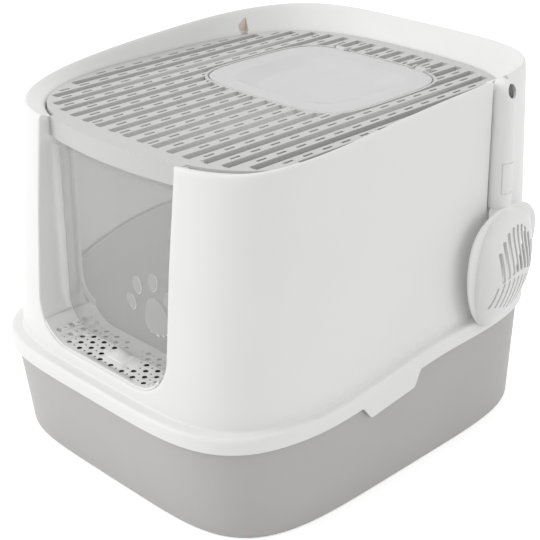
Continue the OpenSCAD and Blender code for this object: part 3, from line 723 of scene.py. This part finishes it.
def copy_node(node, name):
    """A welded copy of a solid's mesh."""
    bm = bmesh.new()
    bm.from_mesh(frame["nodes"][node].data)
    bmesh.ops.remove_doubles(bm, verts=bm.verts, dist=2e-6)
    bmesh.ops.dissolve_degenerate(bm, dist=1e-6, edges=bm.edges)
    mesh = bpy.data.meshes.new(name)
    bm.to_mesh(mesh)
    bm.free()
    obj = bpy.data.objects.new(name, mesh)
    bpy.context.scene.collection.objects.link(obj)
    return obj


def gap_reach(x):
    """Half length of the lid's gap at x: a superellipse over the field of gaps."""
    return 201.0 * (1 - (abs(x) / 172.0) ** 4.4) ** (1 / 4.4)


def make_lid():
    """The lid's solid, with the round ends of its gaps squared off."""
    lid = copy_node("lid", "Lid")
    ends = []
    pitch, half, long = 20.6, 5.0, 4.0
    for i in range(-8, 9):
        x = i * pitch
        far = gap_reach(x) - 1.0
        for y in (-far, far - long):
            ends.append(block("end", (x - half, y, 345), (x + half, y + long, 370)))
    cut(lid, merge("ends", ends))
    return finish_piece(lid, "lid", finishes()["pale_plastic"], 15)


def make_step():
    step = copy_node("entry_step", "EntryStep")
    return finish_piece(step, "entry_step", finishes()["step_plastic_painted_shade"], 40)


def make_top_flap():
    flap = copy_node("top_flap", "TopFlap")
    return finish_piece(flap, "top_flap", finishes()["milky_plastic"], 30, True)


PAW = ((12.7, 201.5, 6.6, 9.2, 25), (22.2, 222.0, 7.0, 10.2, 8), (46.0, 232.4, 7.2, 10.4, -10),
       (68.4, 221.0, 7.0, 9.8, -28))
PAD = (49.7, 195.0, 19.0, 15)


def paw_relief(x, z):
    """Height of the raised paw print, 0 to 1: four ovals and a pad. d is a measure that
    is 1 on each outline, and the relief is a flat top with a rolled edge."""
    h = np.zeros_like(x)
    shapes = []
    for cx, cz, rx, rz, turn in PAW:
        c, s = math.cos(math.radians(turn)), math.sin(math.radians(turn))
        u, v = (x - cx) * c + (z - cz) * s, -(x - cx) * s + (z - cz) * c
        shapes.append((np.hypot(u / rx, v / rz), rx))
    cx, cz, r, turn = PAD
    angle = np.arctan2(z - cz, x - cx) - math.radians(turn)
    wave = 1.0 - 0.10 * np.sin(3 * angle) - 0.04 * np.cos(2 * angle)
    shapes.append((np.hypot(x - cx, z - cz) / (r * wave), r))
    for d, r in shapes:
        h = np.maximum(h, smooth((1.0 - d) * r / 1.0))
    return h


def mark_glint_and_veil(flap):
    """Stores two attributes. relief is a painted highlight: 0.2 on the paw print's flat tops and
    up to 1 on the slopes of its outlines, most on those that face right and down, where the raised
    work bends the light. veil is 1, and falls off towards the top edge, which is polished clear."""
    p = np.empty(len(flap.data.vertices) * 3)
    flap.data.vertices.foreach_get("co", p)
    x, y, z = p.reshape(-1, 3).T / MM
    h = paw_relief(x, z)
    right = paw_relief(x - 0.6, z) - paw_relief(x + 0.6, z)
    down = paw_relief(x, z + 0.6) - paw_relief(x, z - 0.6)
    # painted highlight, strongest on the slopes that face right and down
    slope = np.clip(0.25 + right + 0.6 * down, 0, 1) * np.clip(5 * h * (1 - h), 0, 1)
    value = np.clip(0.2 * h + slope, 0, 1) * (y < -210)
    veil = 0.15 + 0.85 * smooth((336.0 - z) / 4)
    for name, values in (("relief", value), ("veil", veil)):
        layer = flap.data.attributes.new(name, "FLOAT", "POINT")
        layer.data.foreach_set("value", values.astype(np.float32))


def make_front_flap():
    half, low, radius, top = 90.0, 140.0, 35.0, 340.0
    turn = np.linspace(0, np.pi / 2, 60)
    xs = np.concatenate([-half * np.cos(turn), np.linspace(0, 80, 150)[1:],
                         80 + 10 * np.sin(turn[3::3])])
    over = np.clip(np.abs(xs) - (half - radius), 0, radius)
    bottom = low + radius - np.sqrt(np.maximum(0, radius ** 2 - over ** 2))
    near_end = np.array([0, 0.0007, 0.002, 0.004, 0.007])
    t = np.concatenate([near_end, np.linspace(0.015, 0.22, 20), np.linspace(0.22, 0.52, 110)[1:],
                        np.linspace(0.52, 0.985, 26)[1:], 1 - near_end[::-1]])[:, None]
    Z = bottom[None, :] + (top - bottom[None, :]) * t
    X = np.broadcast_to(xs[None, :], Z.shape)
    y = -210.0
    edge = np.minimum.reduce([half - np.abs(X), Z - bottom[None, :], top - Z])
    edge = np.clip(edge, 0, 1.2)
    roll = 1.2 - np.sqrt(np.maximum(0, 1.2 ** 2 - (1.2 - edge) ** 2))
    near = np.stack([X, y - 1.5 + roll - 0.8 * paw_relief(X, Z), Z], -1) * MM
    far = np.stack([X, y + 1.5 - roll, Z], -1) * MM
    flap = between("FrontFlap", near, far)
    pins = [rod(f"pin{s}", (s * 76, y, 337), (s, 0, 0), 23.2, 2.5, 32) for s in (-1, 1)]
    flap = merge("FrontFlap", [flap] + pins)
    mark_glint_and_veil(flap)
    return finish_piece(flap, "front_flap", finishes()["smoky_plastic"], 50)


def blade_outline(z, half, top, n, q):
    """Half width of a blade outline: half wide in the middle, closed at the tip and at
    top, by powers of the distance from the middle."""
    s = scoop_sizes()
    down = np.clip((s.widest - z) / (s.widest - s.low), 0, 1)
    up = np.clip((z - s.widest) / (top - s.widest), 0, 1)
    return np.where(z < s.widest, half * (1 - down ** n) ** q, half * (1 - up ** 2.4) ** 0.5)


def bowl_at(z):
    s = scoop_sizes()
    return blade_outline(z, s.bowl_half, s.blade_top + 2, 2.6, 0.6)


def lip_at(z):
    s = scoop_sizes()
    return blade_outline(z, s.lip_half, s.blade_top + 5, 1.9, 0.65)


def scoop_mid(z):
    """Middle of the scoop: a power curve brings the tip to the front, and the handle is
    set back a little."""
    s = scoop_sizes()
    tip = s.tip_shift * np.clip((s.blade_top - z) / (s.blade_top - s.low), 0, 1) ** 1.5
    return s.middle - tip + s.set_back * smooth((z - s.blade_top + 12) / 12)


def scoop_half(z):
    s = scoop_sizes()
    top = s.top - s.handle_wide / 2
    dome = np.sqrt(np.maximum(0.09, (s.handle_wide / 2) ** 2 - np.maximum(0, z - top) ** 2))
    least = np.where(z > s.widest, s.handle_wide / 2, 0.6)
    return np.where(z > top, dome, np.maximum(least, bowl_at(z)))


def scoop_back(z):
    s = scoop_sizes()
    start = POCKET_X + 0.8
    lean = s.lean * np.clip((s.top - z) / (s.top - s.blade_top), 0, 1)
    return start + lean + (208.6 - start - s.lean) * smooth((s.blade_top + 4 - z) / 14)


def scoop_bulge(z):
    """Depth of the scoop's section: shallow at the tip, deepest in the bowl, then a
    smooth step down to the handle, whose top falls away in a quarter ellipse."""
    s = scoop_sizes()
    down = np.clip((s.bowl_z - z) / (s.bowl_z - s.low), 0, 1)
    low = 3 + (s.bowl_deep - 3) * np.clip(1 - down ** 1.7, 0, 1) ** 0.8
    step = (s.handle_deep - 1 - s.bowl_deep) * smooth((z - s.bowl_z) / 52)
    high = s.bowl_deep + step + smooth((z - s.blade_top) / 60)
    fall = np.sqrt(np.clip(1 - (np.maximum(0, z - s.top + 12.4) / 12.9) ** 2, 0, 1))
    return np.where(z > s.bowl_z, high, low) * fall


def scoop_shell(inset, levels=110, around=72):
    """Sections of the scoop: x goes by a power of sine and y by a power of cosine."""
    s = scoop_sizes()
    low, top = s.low + 0.4 + inset, s.top - 0.35 - inset
    t = np.linspace(0, 1, levels)
    z = low + (top - low) * t
    z = np.unique(np.concatenate([z, low + 12 * t[:40] ** 1.5, top - 10 * t[:40] ** 1.5]))
    w = np.maximum(0.25, scoop_half(z) - inset)
    d = np.maximum(0.3, scoop_bulge(z) - inset)
    p = np.linspace(0, np.pi, around)
    c, q = np.cos(p), np.sin(p)
    open_back = 1.0 if inset > 0 else 0.0
    Z = np.broadcast_to(z[:, None], (len(z), around))
    X = (scoop_back(z) - open_back)[:, None] + (d + open_back)[:, None] * (q ** 0.85)[None, :]
    Y = scoop_mid(z)[:, None] - w[:, None] * (np.sign(c) * np.abs(c) ** 0.88)[None, :]
    obj = skin("shell", np.stack([X, Y, Z], -1) * MM, loop_columns=True)
    point_out(obj)
    return obj


def plate_between(name, outline, x0, x1, edge):
    """Flat plate over a closed outline in y and z, with rolled front edges."""
    middle = outline.mean(0)
    rows = []
    for x, inset in ((x0, 0.0), (x1 - edge, 0.0), (x1 - edge * 0.3, edge * 0.3), (x1, edge)):
        away = outline - middle
        size = np.maximum(1e-6, np.linalg.norm(away, axis=1, keepdims=True))
        p = outline - away / size * inset
        rows.append(np.concatenate([np.full((len(p), 1), x), p], 1))
    obj = skin(name, np.array(rows) * MM)
    point_out(obj)
    return obj


def stadium(name, y, z0, z1, wide, x0, x1, tilt=0.0, cuts=10):
    """Cutter for a slot with round ends, from z0 to z1, tilted about its upper end."""
    r = wide / 2
    t = np.linspace(0, np.pi, cuts)
    py = np.concatenate([r * np.cos(t), -r * np.cos(t)])
    pz = np.concatenate([z1 - r + r * np.sin(t), z0 + r - r * np.sin(t)])
    c, s = math.cos(tilt), math.sin(tilt)
    ry, rz = py * c - (pz - z1) * s, py * s + (pz - z1) * c
    grid = np.stack([np.stack([np.full_like(ry, x), y + ry, z1 + rz], -1) for x in (x0, x1)]) * MM
    obj = skin(name, grid)
    point_out(obj)
    return obj


def plate_groove():
    """Cutter for the thin outline of the bare plate: a frame in y and z, kept to the
    outermost part of the handle by the handle's own shape, set in."""
    s = scoop_sizes()
    y0, z0 = s.middle - 8, s.blade_top + 17
    deep, wide, tall, line = s.handle_deep, 16, 33, 0.8
    ring = block("frame", (deep + 180, y0, z0), (230, y0 + wide, z0 + tall))
    cut(ring, block("inside", (deep + 170, y0 + line, z0 + line),
                    (240, y0 + wide - line, z0 + tall - line)))
    cut(ring, scoop_shell(0.7))
    return ring


def make_scoop():
    s = scoop_sizes()
    scoop = scoop_shell(0.0)
    scoop.name = "Scoop"
    top, low = s.blade_top + 3, s.low + 3
    z = low + (top - low) * (1 - np.cos(np.linspace(0, np.pi, 60))) / 2
    right = np.stack([scoop_mid(z) + np.maximum(2, lip_at(z)), z], -1)
    left = np.stack([scoop_mid(z) - np.maximum(2, lip_at(z)), z], -1)[::-1]
    lip = plate_between("lip", np.concatenate([right, left]), 208.6, 208.6 + s.sheet, 0.9)
    cut(scoop, lip, "UNION")
    cut(scoop, scoop_shell(s.sheet))
    slots = []
    for i in range(-4, 5):
        y, drop = s.middle - 3 + i * s.pitch, 0.5 * i * i
        start, end = s.bowl_z + 6 - drop, s.bowl_z + 54 - 3 * drop
        slots.append(stadium("slot", y, start, end, s.slot, 211, 250))
        high = s.bowl_z + 2 - drop
        start = high - 38 + 3.2 * abs(i)
        slots.append(stadium("slot", y - 5, start, high, s.slot * 0.45, 211, 250, math.radians(-11)))
    cut(scoop, merge("slots", slots))
    cut(scoop, plate_groove())
    cut(scoop, rod("hole", (186, s.middle + s.set_back + 1, s.top - 11), (1, 0, 0), 40, 7.0, 64))
    return finish_piece(scoop, "scoop", finishes()["white_plastic"], 38)


# ---------------------------------------------------------------- stage

def seen_directly(tree):
    """One where a ray comes from the camera, a reflection or a clear piece, else zero."""
    path = tree.nodes.new("ShaderNodeLightPath")
    value = path.outputs["Is Camera Ray"]
    for name in ("Is Glossy Ray", "Is Transmission Ray"):
        most = tree.nodes.new("ShaderNodeMath")
        most.operation = "MAXIMUM"
        tree.links.new(value, most.inputs[0])
        tree.links.new(path.outputs[name], most.inputs[1])
        value = most.outputs[0]
    return value


def make_sky():
    world = bpy.data.worlds.new("Sky")
    bpy.context.scene.world = world
    world.use_nodes = True
    tree = world.node_tree
    tree.nodes.clear()
    out = tree.nodes.new("ShaderNodeOutputWorld")
    mix = tree.nodes.new("ShaderNodeMixShader")
    tree.links.new(seen_directly(tree), mix.inputs[0])
    for slot, strength in ((1, SKY), (2, 1.0)):
        light = tree.nodes.new("ShaderNodeBackground")
        light.inputs["Color"].default_value = (1, 1, 1, 1)
        light.inputs["Strength"].default_value = strength
        tree.links.new(light.outputs[0], mix.inputs[slot])
    tree.links.new(mix.outputs[0], out.inputs[0])


def make_floor():
    """Pale floor that looks white where it is lit and keeps the object's shadow."""
    size = 14.0
    mesh = bpy.data.meshes.new("Floor")
    corners = [(-size, -size, 0), (size, -size, 0), (size, size, 0), (-size, size, 0)]
    mesh.from_pydata(corners, [], [(0, 1, 2, 3)])
    floor = bpy.data.objects.new("Floor", mesh)
    bpy.context.scene.collection.objects.link(floor)
    m = Maker("pale_floor")
    m.set(Base_Color=(0.86, 0.86, 0.86, 1.0), Roughness=0.95, Specular_IOR_Level=0.1)
    add = m.tree.nodes.new("ShaderNodeAddShader")
    glow = m.tree.nodes.new("ShaderNodeEmission")
    glow.inputs["Strength"].default_value = FLOOR_GLOW
    mix = m.tree.nodes.new("ShaderNodeMixShader")
    m.tree.links.new(m.shader.outputs[0], add.inputs[0])
    m.tree.links.new(glow.outputs[0], add.inputs[1])
    m.tree.links.new(seen_directly(m.tree), mix.inputs[0])
    m.tree.links.new(m.shader.outputs[0], mix.inputs[1])
    m.tree.links.new(add.outputs[0], mix.inputs[2])
    m.tree.links.new(mix.outputs[0], m.out.inputs[0])
    mesh.materials.append(m.material)


FOCAL, PIXELS, SENSOR = 1338.4, 540, 36.0       # the first two in pixels, the last in mm
AZIMUTH, ELEVATION = 45.14, 25.27
CAMERA_PLACE = (0.9324, -0.9370, 0.7836)
SKY = 0.76
FLOOR_GLOW = 0.45
LAMPS = (  # name, place, aim, power in watts, width in metres
    ("Key", (-2.0, -2.8, 1.8), (0.0, 0.0, 0.2), 50.0, 2.0),
    ("Top", (-0.2, 0.2, 3.2), (0.0, 0.0, 0.2), 12.0, 2.2),
    ("Side", (2.7, 1.9, 1.4), (0.0, 0.0, 0.2), 12.0, 1.8),
    ("Inside", (0.11, -0.03, 0.19), (-0.19, 0.0, 0.27), 0.34, 0.2),
)


def make_stage():
    """Floor, soft lamps, sky and camera."""
    make_floor()
    make_sky()
    for name, place, aim, power, wide in LAMPS:
        lamp = bpy.data.lights.new(name, "AREA")
        lamp.energy = power
        lamp.shape = "SQUARE"
        lamp.size = wide
        obj = bpy.data.objects.new(name, lamp)
        bpy.context.scene.collection.objects.link(obj)
        obj.location = place
        obj.visible_camera = False
        obj.rotation_euler = (Vector(aim) - Vector(place)).to_track_quat("-Z", "Y").to_euler()

    cam = bpy.data.cameras.new("Camera")
    cam.sensor_width = SENSOR
    cam.lens = FOCAL / PIXELS * SENSOR
    cam.clip_end = 50
    obj = bpy.data.objects.new("Camera", cam)
    bpy.context.scene.collection.objects.link(obj)
    az, el = math.radians(AZIMUTH), math.radians(ELEVATION)
    ahead = Vector((-math.sin(az) * math.cos(el), math.cos(az) * math.cos(el), -math.sin(el)))
    right = Vector((math.cos(az), math.sin(az), 0))
    up = right.cross(ahead)
    turn = Matrix((right, up, -ahead)).transposed().to_4x4()
    obj.matrix_world = Matrix.Translation(CAMERA_PLACE) @ turn
    bpy.context.scene.camera = obj
    bpy.context.scene.view_settings.view_transform = "Standard"


class LITTER_OT_make_tray(bpy.types.Operator):
    """Make the tray"""
    bl_idname = "litter.make_tray"
    bl_label = "Make tray"

    def execute(self, context):
        make_tray()
        return {"FINISHED"}


class LITTER_OT_make_hood(bpy.types.Operator):
    """Make the hood"""
    bl_idname = "litter.make_hood"
    bl_label = "Make hood"

    def execute(self, context):
        make_hood()
        return {"FINISHED"}


class LITTER_OT_make_step(bpy.types.Operator):
    """Make the step"""
    bl_idname = "litter.make_step"
    bl_label = "Make step"

    def execute(self, context):
        make_step()
        return {"FINISHED"}


class LITTER_OT_make_lid(bpy.types.Operator):
    """Make the lid"""
    bl_idname = "litter.make_lid"
    bl_label = "Make lid"

    def execute(self, context):
        make_lid()
        return {"FINISHED"}


class LITTER_OT_make_top_flap(bpy.types.Operator):
    """Make the top flap"""
    bl_idname = "litter.make_top_flap"
    bl_label = "Make top flap"

    def execute(self, context):
        make_top_flap()
        return {"FINISHED"}


class LITTER_OT_make_front_flap(bpy.types.Operator):
    """Make the front flap"""
    bl_idname = "litter.make_front_flap"
    bl_label = "Make front flap"

    def execute(self, context):
        make_front_flap()
        return {"FINISHED"}


class LITTER_OT_make_scoop(bpy.types.Operator):
    """Make the scoop"""
    bl_idname = "litter.make_scoop"
    bl_label = "Make scoop"

    def execute(self, context):
        make_scoop()
        return {"FINISHED"}


class LITTER_OT_make_stage(bpy.types.Operator):
    """Make the stage"""
    bl_idname = "litter.make_stage"
    bl_label = "Make stage"

    def execute(self, context):
        make_stage()
        return {"FINISHED"}


OPERATORS = [
    LITTER_OT_make_tray,
    LITTER_OT_make_hood,
    LITTER_OT_make_step,
    LITTER_OT_make_lid,
    LITTER_OT_make_top_flap,
    LITTER_OT_make_front_flap,
    LITTER_OT_make_scoop,
    LITTER_OT_make_stage,
]
GROUPS = [BodySizes, ScoopSizes, Colours]


class LITTER_PT_panel(bpy.types.Panel):
    bl_label = "Litter Box"
    bl_idname = "LITTER_PT_panel"
    bl_space_type = "VIEW_3D"
    bl_region_type = "UI"
    bl_category = "Litter Box"

    def draw(self, context):
        for op in OPERATORS:
            self.layout.operator(op.bl_idname)


def register():
    for cls in GROUPS + OPERATORS + [LITTER_PT_panel]:
        bpy.utils.register_class(cls)
    bpy.types.Scene.litter_body = bpy.props.PointerProperty(type=BodySizes)
    bpy.types.Scene.litter_scoop = bpy.props.PointerProperty(type=ScoopSizes)
    bpy.types.Scene.litter_colours = bpy.props.PointerProperty(type=Colours)


def unregister():
    for cls in reversed(GROUPS + OPERATORS + [LITTER_PT_panel]):
        bpy.utils.unregister_class(cls)
    del bpy.types.Scene.litter_body
    del bpy.types.Scene.litter_scoop
    del bpy.types.Scene.litter_colours


def main():
    register()
    for op in OPERATORS:
        category, name = op.bl_idname.split(".")
        getattr(getattr(bpy.ops, category), name)()


if __name__ == "__main__":
    main()
